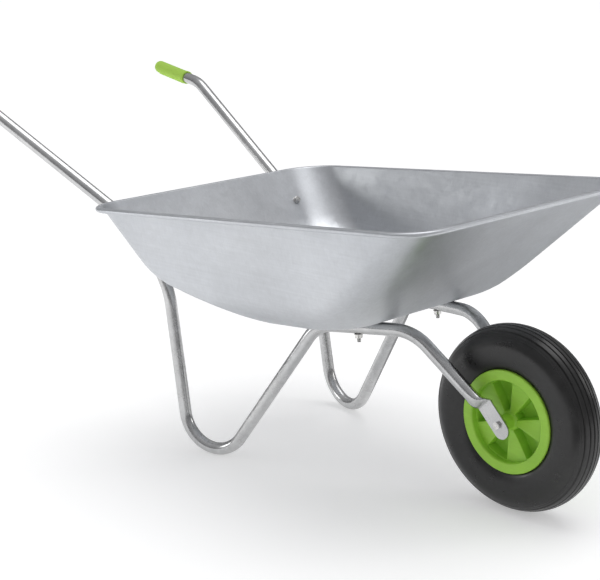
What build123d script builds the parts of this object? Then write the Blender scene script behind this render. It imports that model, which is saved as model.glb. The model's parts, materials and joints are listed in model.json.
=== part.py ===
"""Garden wheelbarrow: pressed steel tray, two bent-tube side frames, pneumatic wheel.

Millimetres. +X runs forward to the wheel, +Y to the left, +Z up, ground at Z = 0.
Side-view stations (sx) are measured from the wheel axle, negative towards the handles.
"""
import math
import os

from build123d import *

os.makedirs("parts", exist_ok=True)

# ---------- overall ----------
AXLE_X = 608.7            # axle position along the barrow
WHEEL_R = 175.0           # outside radius of the tyre

# ---------- tray ----------
SHEET = 1.2               # tray sheet thickness
RIM_TILT = 5.02           # degrees, rim rises towards the wheel
RIM_REAR_X = -846.6       # rear bead line, from the axle
RIM_REAR_Z = 491.5
RIM_LEN = 888.2           # bead line to bead line along the slope
RIM_HALF = 328.0          # bead line half width
RIM_R_REAR = 85.0
RIM_R_FRONT = 70.0
BEAD_R = 4.5              # rolled edge radius
FLANGE = 8.0              # bead line to the wall's outer face
DEPTH = 214.5             # bead line to the underside of the floor
REAR_ANGLE = 55.5         # wall slopes, degrees from the rim plane
REAR_KNEE = 135.0         # depth where the rear wall turns into the rising floor
REAR_RAMP = 16.9
FRONT_ANGLE = 39.2
SIDE_ANGLE = 75.8
KNEE_R = 120.0
RAMP_R = 150.0
FRONT_R = 100.0
SIDE_R = 86.0
FLOOR_RUN = 220.0         # stretch of floor the wall curves may use
FLOOR_R_REAR = 82.0
FLOOR_R_FRONT = 85.0

# ---------- side frames ----------
TUBE_R = 12.5
TUBE_WALL = 1.5
TOE = 0.2186              # frame plane: half width = WAIST - TOE * sx - LEAN * z
LEAN = 0.0415
WAIST = 63.5
HANDLE_END = (-1383.0, 676.45)
HANDLE_BEND = (-1194.8, 656.9)
HANDLE_SLOPE = 0.5462     # drop per unit run behind the tray
LEG_TOP = (-736.7, 406.8)  # where the handle line and the leg line cross
FOOT = (-649.9, -109.4)
RUN_REAR_X = -376.5
RUN_FRONT_X = -175.5
FORK_END = (-66.0, 229.8)
BEND_R = {"handle": 114.6, "shoulder": 90.0, "leg": 170.0, "foot": 75.0, "brace": 70.0, "fork": 96.0}
STRAP_Y = 57.0
STRAP_T = 3.6
STRAP_W = 34.0
STRAP_ANGLE = -46.0
STRAP_START = 43.0        # flat starts this far behind the axle
STRAP_NOSE = 11.0         # nose centre beyond the axle
# pressed shoulder: distance behind the axle, outward shift, drop, half thickness, half width
SHOULDER = [(66.0, 8.7, 7.5, 11.8, 13.4), (56.0, 7.0, 6.0, 10.4, 14.8), (50.0, 4.6, 3.2, 7.0, 16.2)]
GAP = 0.05                # clearance between touching pieces

# ---------- grips ----------
GRIP_LEN = 146.0
GRIP_R = 14.8
GRIP_RIBS = 7
RIB_PITCH = 15.0

# ---------- fasteners ----------
BOLT_R = 4.0              # M8
BOLT_AF = 13.0
BOLT_HEAD_H = 5.3
NUT_H = 6.5
WASHER_R = 8.5
WASHER_T = 1.6
THREAD_END = 8.0          # thread showing beyond the nut
REAR_BOLT_X = -789.0
FLOOR_BOLT_X = -290.4
AXLE_R = 4.0              # M8
AXLE_TIP_R = 3.2          # turned-down end beyond the nut
AXLE_TIP = 7.0
SPACER_R = 8.0

# ---------- wheel ----------
RIM_FACE = 37.0
RIM_LIP_R = 97.0
BEAD_SEAT_R = 89.0
WELL_R = 81.0
BARREL_IN_R = 77.0
DISC_FACE = 24.0
WEB_HALF = 3.0
HUB_R = 14.5
HUB_HALF = 51.0
SPOKES = 5
SPOKE_DEG = 37.0
SPOKE_PHASE = -3.0
BUSH_R = 9.5
BUSH_LEN = 20.0
BUSH_FLANGE_R = 12.0
BUSH_FLANGE_T = 2.0
TYRE_CENTRE_R = 135.4
TYRE_SECTION_R = 39.6
TUBE_CENTRE_R = 129.3
GROOVES = (0.0, 8.7, 17.4, 26.0)
VALVE_Y = 13.5
VALVE_ANGLE = 33.0

SIDES = {"right": -1, "left": 1}


def save(name, shape):
    """Write one node."""
    shape.label = name
    export_step(shape, f"parts/{name}.step")


def place(sx, y, z):
    """Point at side-view station sx."""
    return Vector(AXLE_X + sx, y, z)


def half_width(sx, z):
    """Half spacing of the two side frames at a station."""
    return WAIST - TOE * sx - LEAN * z


def frame_point(side, p):
    """Side-view point put on the side frame's plane."""
    return place(p[0], side * half_width(*p), p[1])


# ---------- tray geometry ----------
def round_profile(points, radii):
    """Polyline of (inset, depth) with its inner corners rounded, as a dense list."""
    out = [points[0]]
    for i in range(1, len(points) - 1):
        v = Vector(*points[i])
        a = (Vector(*points[i - 1]) - v)
        b = (Vector(*points[i + 1]) - v)
        la = a.length
        lb = b.length
        a = a.normalized()
        b = b.normalized()
        half = math.acos(max(-1.0, min(1.0, a.dot(b)))) / 2
        run = min(radii[i - 1] / math.tan(half), 0.49 * la, 0.49 * lb)
        r = run * math.tan(half)
        centre = v + (a + b).normalized() * (r / math.sin(half))
        for k in range(13):
            m = v + a * run * (1 - k / 12) + b * run * (k / 12)
            m = centre + (m - centre).normalized() * r
            out.append((m.X, m.Y))
    out.append(points[-1])
    return out


def inner_polyline(points, t):
    """The same polyline moved inwards by t."""
    lines = []
    for p, q in zip(points, points[1:]):
        d = (Vector(*q) - Vector(*p)).normalized()
        n = Vector(d.Y, -d.X)
        lines.append((Vector(*p) + n * t, d))
    out = [(lines[0][0].X, lines[0][0].Y)]
    for (p, d), (q, e) in zip(lines, lines[1:]):
        k = ((q - p).X * e.Y - (q - p).Y * e.X) / (d.X * e.Y - d.Y * e.X)
        m = p + d * k
        out.append((m.X, m.Y))
    end = Vector(*out[-1]) + lines[-1][1] * FLOOR_RUN
    out.append((end.X, end.Y))
    return out


def inset_at(profile, depth):
    """Inset of a rounded profile at one depth."""
    for (i0, d0), (i1, d1) in zip(profile, profile[1:]):
        if depth <= d1 and d1 > d0 + 1e-9:
            return i0 + (i1 - i0) * (depth - d0) / (d1 - d0)
    return profile[-2][0]


def wall_polylines():
    """Rear, front and side wall lines from the flange down to the floor."""
    top = -BEAD_R

    def down(angle, depth):
        return FLANGE + (depth - top) / math.tan(math.radians(angle))

    knee = down(REAR_ANGLE, REAR_KNEE)
    ramp_end = knee + (DEPTH - REAR_KNEE) / math.tan(math.radians(REAR_RAMP))
    rear = [(FLANGE, top), (knee, REAR_KNEE), (ramp_end, DEPTH), (ramp_end + FLOOR_RUN, DEPTH)]
    front_end = down(FRONT_ANGLE, DEPTH)
    front = [(FLANGE, top), (front_end, DEPTH), (front_end + FLOOR_RUN, DEPTH)]
    side_end = down(SIDE_ANGLE, DEPTH)
    side = [(FLANGE, top), (side_end, DEPTH), (side_end + FLOOR_RUN, DEPTH)]
    return rear, front, side


def corner_rectangle(u0, u1, half, r0, r1):
    """Closed rectangle with its own corner radius at each end, in the XY plane."""
    pts = [(u0 + r0, -half), (u1 - r1, -half), (u1, -half + r1), (u1, half - r1),
           (u1 - r1, half), (u0 + r0, half), (u0, half - r0), (u0, -half + r0)]
    s0 = r0 * (1 - math.sqrt(0.5))
    s1 = r1 * (1 - math.sqrt(0.5))
    mids = [(u1 - s1, -half + s1), (u1 - s1, half - s1), (u0 + s0, half - s0), (u0 + s0, -half + s0)]
    edges = []
    for k in range(4):
        a = pts[2 * k]
        b = pts[2 * k + 1]
        c = pts[(2 * k + 2) % 8]
        edges.append(Edge.make_line(Vector(*a, 0), Vector(*b, 0)))
        edges.append(Edge.make_three_point_arc(Vector(*b, 0), Vector(*mids[k], 0), Vector(*c, 0)))
    return Wire(edges)


def pan_solid(offset, depths):
    """Solid bounded by the tray's wall surface, moved inwards by offset."""
    lines = wall_polylines()
    radii = [(KNEE_R, RAMP_R), (FRONT_R,), (SIDE_R,)]
    profs = []
    for pts, rr in zip(lines, radii):
        pts = inner_polyline(pts, offset) if offset else pts
        profs.append(round_profile(pts, [r - offset for r in rr]))
    sections = []
    for d in depths:
        t = max(0.0, (d + BEAD_R) / (DEPTH + BEAD_R))
        rear, front, side = [inset_at(p, d) for p in profs]
        r0 = (RIM_R_REAR - FLANGE) * (1 - t) + FLOOR_R_REAR * t - offset
        r1 = (RIM_R_FRONT - FLANGE) * (1 - t) + FLOOR_R_FRONT * t - offset
        wire = corner_rectangle(rear, RIM_LEN - front, RIM_HALF - side, r0, r1)
        sections.append(wire.moved(Location((0, 0, -d))))
    return Solid.make_loft(sections, True)


def pan_depths(top, bottom):
    """Section depths, closer together where the walls curve into the floor."""
    steps = [0, .12, .24, .36, .46, .53, .59, .64, .69, .74]
    steps += [.79, .84, .88, .915, .94, .96, .975, .988, .996, 1]
    return [top + (bottom - top) * s for s in steps]


def tray_place():
    """Location of the rim plane's rear bead line in the barrow."""
    return Location((AXLE_X + RIM_REAR_X, 0, RIM_REAR_Z), (0, -RIM_TILT, 0))


def on_rim(u, y, depth):
    """Rim-plane coordinates to barrow coordinates."""
    a = math.radians(RIM_TILT)
    x = u * math.cos(a) + depth * math.sin(a)
    z = u * math.sin(a) - depth * math.cos(a)
    return Vector(AXLE_X + RIM_REAR_X + x, y, RIM_REAR_Z + z)


def rim_curl():
    """Flange with its edge rolled down and under."""
    path = corner_rectangle(0, RIM_LEN, RIM_HALF, RIM_R_REAR, RIM_R_FRONT)
    start = Plane(origin=(RIM_LEN / 2, -RIM_HALF, 0), x_dir=(0, -1, 0), z_dir=(-1, 0, 0))
    ring = Circle(BEAD_R) - Circle(BEAD_R - SHEET)
    mouth = Pos(-BEAD_R, 0.2) * Rectangle(2 * BEAD_R, 2.2)
    flange = Pos(-FLANGE / 2, BEAD_R - SHEET / 2) * Rectangle(FLANGE + 0.4, SHEET)
    section = (ring - mouth) + flange
    mid = Edge.make_line(Vector(RIM_LEN / 2, -RIM_HALF, 0), Vector(RIM_LEN - RIM_R_FRONT, -RIM_HALF, 0))
    edges = path.edges()
    first = edges[0]
    a = Edge.make_line(first.position_at(0), Vector(RIM_LEN / 2, -RIM_HALF, 0))
    loop = Wire([mid] + list(edges[1:]) + [a])
    return sweep(start * section, path=loop)


def make_tray():
    """Pressed pan with a rolled edge, and its four bolt holes."""
    outer = pan_solid(0, pan_depths(-BEAD_R, DEPTH))
    inner = pan_solid(SHEET, pan_depths(-BEAD_R - 1, DEPTH - SHEET))
    tray = (Part(outer.wrapped) - Part(inner.wrapped) + rim_curl()).moved(tray_place())
    for spot in bolt_spots():
        tray -= along(spot["at"], spot["axis"], BOLT_R + 0.3, -20, 20)
    return tray


# ---------- fastening points ----------
def rear_wall_normal():
    """Unit normal of the rear wall, into the tray."""
    a = math.radians(REAR_ANGLE - RIM_TILT)
    return Vector(math.sin(a), 0, math.cos(a))


def floor_normal():
    """Unit normal of the floor, into the tray."""
    a = math.radians(RIM_TILT)
    return Vector(-math.sin(a), 0, math.cos(a))


def rear_wall_z(sx):
    """Height of the rear wall's outer face at a station."""
    p = on_rim(FLANGE, 0, -BEAD_R)
    return p.Z - (sx - (p.X - AXLE_X)) * math.tan(math.radians(REAR_ANGLE - RIM_TILT))


def floor_z(sx):
    """Height of the floor's underside at a station."""
    p = on_rim(RIM_LEN / 2, 0, DEPTH)
    return p.Z + (sx - (p.X - AXLE_X)) * math.tan(math.radians(RIM_TILT))


def bolt_spots():
    """Outer face point and inward axis of each tray bolt."""
    lift = (TUBE_R + GAP)
    spots = []
    for side in SIDES.values():
        n = rear_wall_normal()
        z = rear_wall_z(REAR_BOLT_X)
        centre = (REAR_BOLT_X - n.X * lift, z - n.Z * lift)
        at = frame_point(side, centre) + n * lift
        spots.append({"at": at, "axis": n, "set": "rear_wall"})
    for side in SIDES.values():
        n = floor_normal()
        z = floor_z(FLOOR_BOLT_X)
        centre = (FLOOR_BOLT_X - n.X * lift, z - n.Z * lift)
        at = frame_point(side, centre) + n * lift
        spots.append({"at": at, "axis": n, "set": "floor"})
    return spots


def along(at, axis, radius, start, end):
    """Cylinder on an axis through a point, from start to end along it."""
    plane = Plane(origin=at + axis * start, z_dir=axis)
    return plane * Cylinder(radius, end - start, align=(Align.CENTER, Align.CENTER, Align.MIN))


def hex_prism(at, axis, flats, start, end):
    """Hexagonal prism, flats across, with its edges knocked off by a cone."""
    plane = Plane(origin=at + axis * start, z_dir=axis)
    body = extrude(plane * RegularPolygon(flats / 2, 6, major_radius=False), end - start)
    corner = flats / math.sqrt(3)
    trim = plane * Cone(corner + 0.9 * (end - start), corner - 0.5, end - start,
                        align=(Align.CENTER, Align.CENTER, Align.MIN))
    return body & trim


def washer(at, axis, hole, radius, start, end):
    """Flat washer."""
    return along(at, axis, radius, start, end) - along(at, axis, hole, start - 1, end + 1)


# ---------- side frames ----------
def tube_stations():
    """Side-view corner points of the bent tube from handle to fork."""
    lift = (TUBE_R + GAP)
    n = rear_wall_normal()
    wall = math.tan(math.radians(REAR_ANGLE - RIM_TILT))
    wx = REAR_BOLT_X - n.X * lift
    wz = rear_wall_z(REAR_BOLT_X) - n.Z * lift
    hx, hz = HANDLE_BEND
    sx = (wz + wall * wx - hz - HANDLE_SLOPE * hx) / (wall - HANDLE_SLOPE)
    shoulder = (sx, wz - wall * (sx - wx))
    lean = (FOOT[0] - LEG_TOP[0]) / (LEG_TOP[1] - FOOT[1])
    lx = (LEG_TOP[0] + lean * (LEG_TOP[1] - wz - wall * wx)) / (1 - lean * wall)
    leg = (lx, wz - wall * (lx - wx))
    n = floor_normal()
    run = [(x, floor_z(x) - lift / n.Z) for x in (RUN_REAR_X, RUN_FRONT_X)]
    return [HANDLE_END, HANDLE_BEND, shoulder, leg, FOOT, run[0], run[1], FORK_END]


def tube_path(side):
    """Centre line of one side frame with its bends."""
    pts = [frame_point(side, p) for p in tube_stations()]
    radii = [BEND_R[k] for k in ("handle", "shoulder", "leg", "foot", "brace", "fork")]
    edges = []
    last = pts[0]
    for p, v, q, r in zip(pts, pts[1:], pts[2:], radii):
        a = (p - v).normalized()
        b = (q - v).normalized()
        half = math.acos(a.dot(b)) / 2
        run = r / math.tan(half)
        start = v + a * run
        end = v + b * run
        mid = v + (a + b).normalized() * (r / math.sin(half) - r)
        edges.append(Edge.make_line(last, start))
        edges.append(Edge.make_three_point_arc(start, mid, end))
        last = end
    edges.append(Edge.make_line(last, pts[-1]))
    return Wire(edges)


def strap_frame(side, distance):
    """Plane across the flat fork end, at a distance behind the axle."""
    a = math.radians(STRAP_ANGLE)
    d = Vector(math.cos(a), 0, math.sin(a))
    at = Vector(AXLE_X, side * STRAP_Y, WHEEL_R) - d * distance
    return Plane(origin=at, x_dir=(0, 1, 0), z_dir=d)


def fork_end(side):
    """Tube end pressed down at a shoulder into a flat strap with a round nose and the axle hole."""
    path = tube_path(side)
    neck = Plane(origin=path.position_at(1), x_dir=(0, 1, 0), z_dir=path.tangent_at(1))
    sections = [neck * Circle(TUBE_R)]
    for distance, out, drop, thick, wide in SHOULDER:
        section = Pos(side * out, -drop) * Ellipse(thick, wide)
        sections.append(strap_frame(side, distance) * section)
    flat = RectangleRounded(STRAP_T, STRAP_W, STRAP_T * 0.49)
    sections.append(strap_frame(side, STRAP_START) * flat)
    squeeze = loft(sections, ruled=True)
    a = math.radians(STRAP_ANGLE)
    along_dir = Vector(math.cos(a), 0, math.sin(a))
    side_plane = Plane(origin=(AXLE_X, side * STRAP_Y, WHEEL_R), x_dir=along_dir, z_dir=(0, 1, 0))
    length = STRAP_START + STRAP_NOSE
    outline = Pos(STRAP_NOSE - length / 2, 0) * Rectangle(length, STRAP_W)
    outline += Pos(STRAP_NOSE, 0) * Circle(STRAP_W / 2)
    strap = extrude(side_plane * outline, STRAP_T / 2, both=True)
    hole = along(Vector(AXLE_X, 0, WHEEL_R), Vector(0, 1, 0), AXLE_R + 0.3, -90, 90)
    return squeeze + strap - hole


def make_frame_tube(side):
    """One bent tube: handle, leg, foot, brace, floor run and flattened fork end."""
    path = tube_path(side)
    start = Plane(origin=path.position_at(0), x_dir=(0, 1, 0), z_dir=path.tangent_at(0))
    tube = sweep(start * (Circle(TUBE_R) - Circle(TUBE_R - TUBE_WALL)), path=path)
    tube = tube + fork_end(side)
    for spot in bolt_spots():
        if spot["at"].Y * side > 0:
            tube -= along(spot["at"], spot["axis"], BOLT_R + 0.3, -40, 5)
    return tube


def make_grip(side):
    """Soft sleeve closed by a rounded end, with finger ribs underneath."""
    path = tube_path(side)
    axis = path.tangent_at(0)
    end = path.position_at(0) - axis * 8.0
    plane = Plane(origin=end, x_dir=Vector(0, 1, 0), z_dir=axis)
    sleeve = Cylinder(GRIP_R, GRIP_LEN, align=(Align.CENTER, Align.CENTER, Align.MIN))
    sleeve = fillet(sleeve.edges().filter_by(GeomType.CIRCLE).sort_by(Axis.Z)[0], 9.0)
    down = plane.to_local_coords(Vector(end.X, end.Y, end.Z - 1)) - plane.to_local_coords(end)
    for k in range(GRIP_RIBS):
        spot = Pos(down.X * 3.4, down.Y * 3.4, 26 + k * RIB_PITCH)
        sleeve += spot * Cylinder(GRIP_R - 1.6, 6.0)
    bore = Cylinder(TUBE_R + GAP, GRIP_LEN, align=(Align.CENTER, Align.CENTER, Align.MIN))
    return plane * (sleeve - Pos(0, 0, 8.0 - GAP) * bore)


# ---------- tray fasteners ----------
def bolt_set(name):
    """Bolts, head washers, nut washers and nuts of one set of tray bolts."""
    spots = [s for s in bolt_spots() if s["set"] == name]
    head0 = SHEET + WASHER_T + 3 * GAP
    wash0 = -2 * TUBE_R - 2 * GAP
    nut0 = wash0 - WASHER_T - GAP
    tip = nut0 - NUT_H - THREAD_END
    bolts = []
    heads = []
    backs = []
    nuts = []
    for s in spots:
        at = s["at"]
        n = s["axis"]
        shank = along(at, n, BOLT_R - 0.02, tip, head0 + 0.5)
        bolts.append(shank + hex_prism(at, n, BOLT_AF, head0, head0 + BOLT_HEAD_H))
        heads.append(washer(at, n, BOLT_R + 0.2, WASHER_R, SHEET + 2 * GAP, SHEET + 2 * GAP + WASHER_T))
        backs.append(washer(at, n, BOLT_R + 0.2, WASHER_R, wash0 - WASHER_T, wash0))
        nut = hex_prism(at, -n, BOLT_AF, -nut0, -nut0 + NUT_H)
        nuts.append(nut - along(at, n, BOLT_R, tip, nut0 + 2))
    return {"bolts": bolts, "washers": heads, "nut_washers": backs, "nuts": nuts}


# ---------- axle ----------
def make_axle():
    """Through bolt, its nut and washer, and the two spacers beside the hub."""
    at = Vector(AXLE_X, 0, WHEEL_R)
    n = Vector(0, 1, 0)
    outer = STRAP_Y + STRAP_T / 2 + GAP
    inner = STRAP_Y - STRAP_T / 2 - GAP
    nut0 = outer + WASHER_T + GAP
    tip = nut0 + NUT_H
    bolt = along(at, n, AXLE_R, -outer - 0.5, tip)
    bolt += along(at, n, AXLE_TIP_R, tip - 0.5, tip + AXLE_TIP)
    bolt += hex_prism(at, -n, BOLT_AF, outer, outer + BOLT_HEAD_H)
    nut = hex_prism(at, n, BOLT_AF, nut0, nut0 + NUT_H)
    nut -= along(at, n, AXLE_R + 0.02, nut0 - 1, nut0 + NUT_H + 1)
    disc = washer(at, n, AXLE_R + 0.25, WASHER_R, outer, outer + WASHER_T)
    clear = HUB_HALF + BUSH_FLANGE_T + 0.3
    left = washer(at, n, AXLE_R + 0.1, SPACER_R, clear, inner)
    right = washer(at, n, AXLE_R + 0.1, SPACER_R, -inner, -clear)
    return {"axle_bolt": bolt, "axle_nut": nut, "axle_washer": disc,
            "axle_spacer_left": left, "axle_spacer_right": right}


# ---------- wheel ----------
def on_wheel(shape):
    """Move a piece modelled about the Y axis to the wheel centre."""
    return shape.moved(Location((AXLE_X, 0, WHEEL_R)))


def spin(points):
    """Ring from a closed outline of (radius, y) points, turned about the Y axis."""
    outline = Polyline(*[(r, y) for r, y in points], close=True)
    return revolve(make_face(outline), axis=Axis.Y)


def wheel_barrel():
    """Rim barrel with bead seats, drop centre and thick rolled lips."""
    half = [(BARREL_IN_R, RIM_FACE - 1.5), (BARREL_IN_R + 1.5, RIM_FACE), (RIM_LIP_R - 3, RIM_FACE),
            (RIM_LIP_R, RIM_FACE - 3), (RIM_LIP_R, RIM_FACE - 5), (BEAD_SEAT_R, 27), (BEAD_SEAT_R, 20),
            (WELL_R, 14)]
    mirror = [(r, -y) for r, y in reversed(half)]
    return spin(half + mirror + [(BARREL_IN_R - 2, -DISC_FACE + 2), (BARREL_IN_R - 2, DISC_FACE - 2)])


def window(side, angle):
    """Wedge-shaped pocket between two spokes on one side of the disc."""
    half = math.radians((360 / SPOKES - SPOKE_DEG) / 2)
    r0 = HUB_R + 1.0
    r1 = BARREL_IN_R - 2
    pts = [(r0 * math.cos(half), -r0 * math.sin(half))]
    for k in range(7):
        a = -half + 2 * half * k / 6
        pts.append((r1 * math.cos(a), r1 * math.sin(a)))
    pts.append((r0 * math.cos(half), r0 * math.sin(half)))
    plane = Plane(origin=(0, 0, 0), x_dir=(1, 0, 0), z_dir=(0, -1, 0)) if side < 0 else \
        Plane(origin=(0, 0, 0), x_dir=(1, 0, 0), z_dir=(0, 1, 0))
    turn = angle if side < 0 else -angle
    face = Rot(0, 0, turn) * make_face(Polyline(*pts, close=True))
    depth = DISC_FACE + 1 - WEB_HALF
    return extrude(Plane(origin=plane.z_dir * WEB_HALF, x_dir=plane.x_dir, z_dir=plane.z_dir) * face, depth)


def make_wheel_rim():
    """One-piece moulded wheel: barrel, disc with five fan spokes a side, hub."""
    wheel = wheel_barrel()
    wheel += spin([(HUB_R - 3, -DISC_FACE), (BARREL_IN_R - 1, -DISC_FACE), (BARREL_IN_R - 1, DISC_FACE),
                   (HUB_R - 3, DISC_FACE)])
    wheel += spin([(BUSH_R, -HUB_HALF), (HUB_R - 2, -HUB_HALF), (HUB_R, -HUB_HALF + 6), (HUB_R, HUB_HALF - 6),
                   (HUB_R - 2, HUB_HALF), (BUSH_R, HUB_HALF)])
    for k in range(SPOKES):
        angle = SPOKE_PHASE + (k + 0.5) * 360 / SPOKES
        wheel -= window(-1, angle)
        wheel -= window(1, angle)
    wheel -= along(Vector(0, 0, 0), Vector(0, 1, 0), BUSH_R + GAP / 2, -60, 60)
    a = math.radians(VALVE_ANGLE)
    wheel -= along(Vector(0, VALVE_Y, 0), Vector(math.cos(a), 0, math.sin(a)), 5.8, 60, 95)
    return on_wheel(wheel)


def make_bush(side):
    """Flanged plain bush pressed into one end of the hub."""
    n = Vector(0, side, 0)
    at = Vector(0, 0, 0)
    bush = along(at, n, BUSH_R, HUB_HALF - BUSH_LEN, HUB_HALF)
    bush += along(at, n, BUSH_FLANGE_R, HUB_HALF + GAP, HUB_HALF + BUSH_FLANGE_T) + \
        along(at, n, BUSH_R, HUB_HALF - 1, HUB_HALF + 1)
    bush -= along(at, n, AXLE_R + 0.05, 0, HUB_HALF + 10)
    return on_wheel(bush)


def section_ring(width, height, centre_r):
    """Ring with an elliptical section."""
    return revolve(Pos(centre_r, 0) * Ellipse(height, width), axis=Axis.Y)


def make_tyre():
    """Ribbed-tread tyre carcass with thick beads."""
    crown = section_ring(TYRE_SECTION_R + 0.9, TYRE_SECTION_R, TYRE_CENTRE_R)
    half = [(BEAD_SEAT_R + GAP, 26.6), (RIM_LIP_R + 0.2, 31.7), (RIM_LIP_R + 1.4, 33), (RIM_LIP_R + 1.4, 36),
            (112, 37.5), (128, 40)]
    tyre = crown + spin(half + [(r, -y) for r, y in reversed(half)])
    tyre -= section_ring(34.0, 39.9, TUBE_CENTRE_R)
    tyre -= spin([(85, -20.2), (BEAD_SEAT_R + 4, -19.6), (BEAD_SEAT_R + 4, 19.6), (85, 20.2)])
    for y in GROOVES:
        for s in ((-1, 1) if y > 0 else (1,)):
            r = TYRE_CENTRE_R + math.sqrt(TYRE_SECTION_R ** 2 - y ** 2)
            groove = [(r - 2.2, s * y - 0.8), (r + 3, s * y - 1.4)]
            groove += [(r + 3, s * y + 1.4), (r - 2.2, s * y + 0.8)]
            tyre -= spin(groove)
    return on_wheel(tyre)


def make_inner_tube():
    """Air tube inside the tyre."""
    tube = section_ring(33.6, 39.5, TUBE_CENTRE_R) - section_ring(31.8, 37.7, TUBE_CENTRE_R)
    return on_wheel(tube)


def make_valve():
    """Valve stem through the rim barrel, and its cap."""
    a = math.radians(VALVE_ANGLE)
    n = Vector(math.cos(a), 0, math.sin(a))
    at = Vector(0, VALVE_Y, 0)
    stem = along(at, n, 5.5, 68, 89.4) + along(at, n, 3.9, 52, 70)
    cap = along(at, n, 5.0, 49, 63) - along(at, n, 3.9 + GAP, 51.9, 64)
    return {"valve_stem": on_wheel(stem), "valve_cap": on_wheel(cap)}


def main():
    """Build and write every node."""
    save("tray", make_tray())
    for name, side in SIDES.items():
        save(f"frame_tube_{name}", make_frame_tube(side))
        save(f"grip_{name}", make_grip(side))
        save(f"hub_bush_{name}", make_bush(side))
    for name in ("rear_wall", "floor"):
        for kind, solids in bolt_set(name).items():
            save(f"{name}_{kind}", Compound(children=solids))
    for name, shape in make_axle().items():
        save(name, shape)
    save("wheel_rim", make_wheel_rim())
    save("tyre", make_tyre())
    save("inner_tube", make_inner_tube())
    for name, shape in make_valve().items():
        save(name, shape)


main()
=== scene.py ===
import json
import math

import bmesh
import bpy
from mathutils import Matrix, Vector


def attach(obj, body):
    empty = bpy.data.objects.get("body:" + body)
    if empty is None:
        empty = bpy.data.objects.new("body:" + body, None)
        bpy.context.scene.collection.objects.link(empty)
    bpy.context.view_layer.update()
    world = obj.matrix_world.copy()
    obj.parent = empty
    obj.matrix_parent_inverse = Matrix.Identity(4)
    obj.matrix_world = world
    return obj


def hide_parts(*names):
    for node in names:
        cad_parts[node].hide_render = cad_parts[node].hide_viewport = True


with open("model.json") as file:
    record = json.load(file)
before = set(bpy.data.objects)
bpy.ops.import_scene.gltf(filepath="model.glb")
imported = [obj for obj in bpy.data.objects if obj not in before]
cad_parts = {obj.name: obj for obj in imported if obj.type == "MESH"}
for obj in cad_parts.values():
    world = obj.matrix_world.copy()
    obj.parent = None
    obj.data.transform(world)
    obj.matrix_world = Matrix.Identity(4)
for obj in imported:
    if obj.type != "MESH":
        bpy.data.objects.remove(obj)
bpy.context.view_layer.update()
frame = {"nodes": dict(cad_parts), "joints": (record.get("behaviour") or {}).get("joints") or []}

# ---------- sizes, in metres ----------
AXLE = Vector(frame["joints"][0]["pos_m"])

RIM_TILT = math.radians(5.02)
RIM_REAR = Vector((AXLE.x - 0.8466, 0, 0.4915))
RIM_LEN = 0.8882
RIM_HALF = 0.328
RIM_R_REAR = 0.085
RIM_R_FRONT = 0.070
BEAD_R = 0.0045
FLANGE = 0.008
SHEET = 0.0012
DEPTH = 0.2145
REAR_ANGLE = 55.5
REAR_KNEE = 0.135
REAR_RAMP = 16.9
FRONT_ANGLE = 39.2
SIDE_ANGLE = 75.8
FLOOR_R_REAR = 0.082
FLOOR_R_FRONT = 0.085
FLOOR_RUN = 0.22
EDGE_R = 0.0024

TUBE_R = 0.0125
TUBE_SIDES = 28
STATIONS = ((-1.383, 0.67645), (-1.1948, 0.6569), (-0.81743, 0.45078), (-0.72532, 0.33912),
            (-0.6499, -0.1094), (-0.3765, 0.30487), (-0.1755, 0.32253), (-0.066, 0.2298))
BEND_R = (0.1146, 0.090, 0.170, 0.075, 0.070, 0.096)
STRAP_Y = 0.057
STRAP_DROP = math.radians(46)

GRIP_R = 0.0148

TYRE_CENTRE_R = 0.1354
TYRE_HALF_H = 0.0396
TYRE_HALF_W = 0.0405
GROOVES = (0.026, 0.0174, 0.0087)
DISC_FACE = 0.024
WEB_HALF = 0.002
HUB_R = 0.0145
HUB_HALF = 0.051
FAN_TURN = math.radians(-3)


# ---------- bench tools ----------
def settle(name):
    """Name the primitive just added, put its place in its mesh and open it."""
    piece = bpy.context.object
    piece.name = name
    piece.data.name = name
    bpy.ops.object.transform_apply(location=True, rotation=True, scale=True)
    bpy.ops.object.mode_set(mode="EDIT")
    bpy.ops.mesh.select_mode(type="VERT")
    bpy.ops.mesh.select_all(action="SELECT")
    return piece


def clear():
    """Close the piece being worked on and deselect everything."""
    if bpy.context.object and bpy.context.object.mode == "EDIT":
        bpy.ops.object.mode_set(mode="OBJECT")
    bpy.ops.object.select_all(action="DESELECT")


def work():
    return bmesh.from_edit_mesh(bpy.context.object.data)


def picked():
    """Numbers of the selected vertices."""
    mesh = work()
    mesh.verts.index_update()
    return [v.index for v in mesh.verts if v.select]


def pick(numbers):
    """Select vertices by number."""
    mesh = work()
    mesh.verts.ensure_lookup_table()
    for f in mesh.faces:
        f.select = False
    for e in mesh.edges:
        e.select = False
    for v in mesh.verts:
        v.select = False
    for n in numbers:
        mesh.verts[n].select = True
    mesh.select_flush(True)
    bmesh.update_edit_mesh(bpy.context.object.data)


def pick_where(test, among=None):
    """Select the vertices that pass a test on their place."""
    mesh = work()
    mesh.verts.ensure_lookup_table()
    numbers = among if among is not None else range(len(mesh.verts))
    found = [n for n in numbers if test(mesh.verts[n].co)]
    pick(found)
    return found


def pick_faces(test):
    """Select the faces whose middle and normal pass a test."""
    bpy.ops.mesh.select_mode(type="FACE")
    bpy.ops.mesh.select_all(action="DESELECT")
    mesh = work()
    for f in mesh.faces:
        f.select_set(bool(test(f.calc_center_median(), f.normal)))
    bmesh.update_edit_mesh(bpy.context.object.data)


def pick_edges(test):
    """Select the edges whose middle passes a test."""
    bpy.ops.mesh.select_mode(type="EDGE")
    bpy.ops.mesh.select_all(action="DESELECT")
    mesh = work()
    for e in mesh.edges:
        e.select_set(bool(test((e.verts[0].co + e.verts[1].co) / 2, e)))
    bmesh.update_edit_mesh(bpy.context.object.data)


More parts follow.
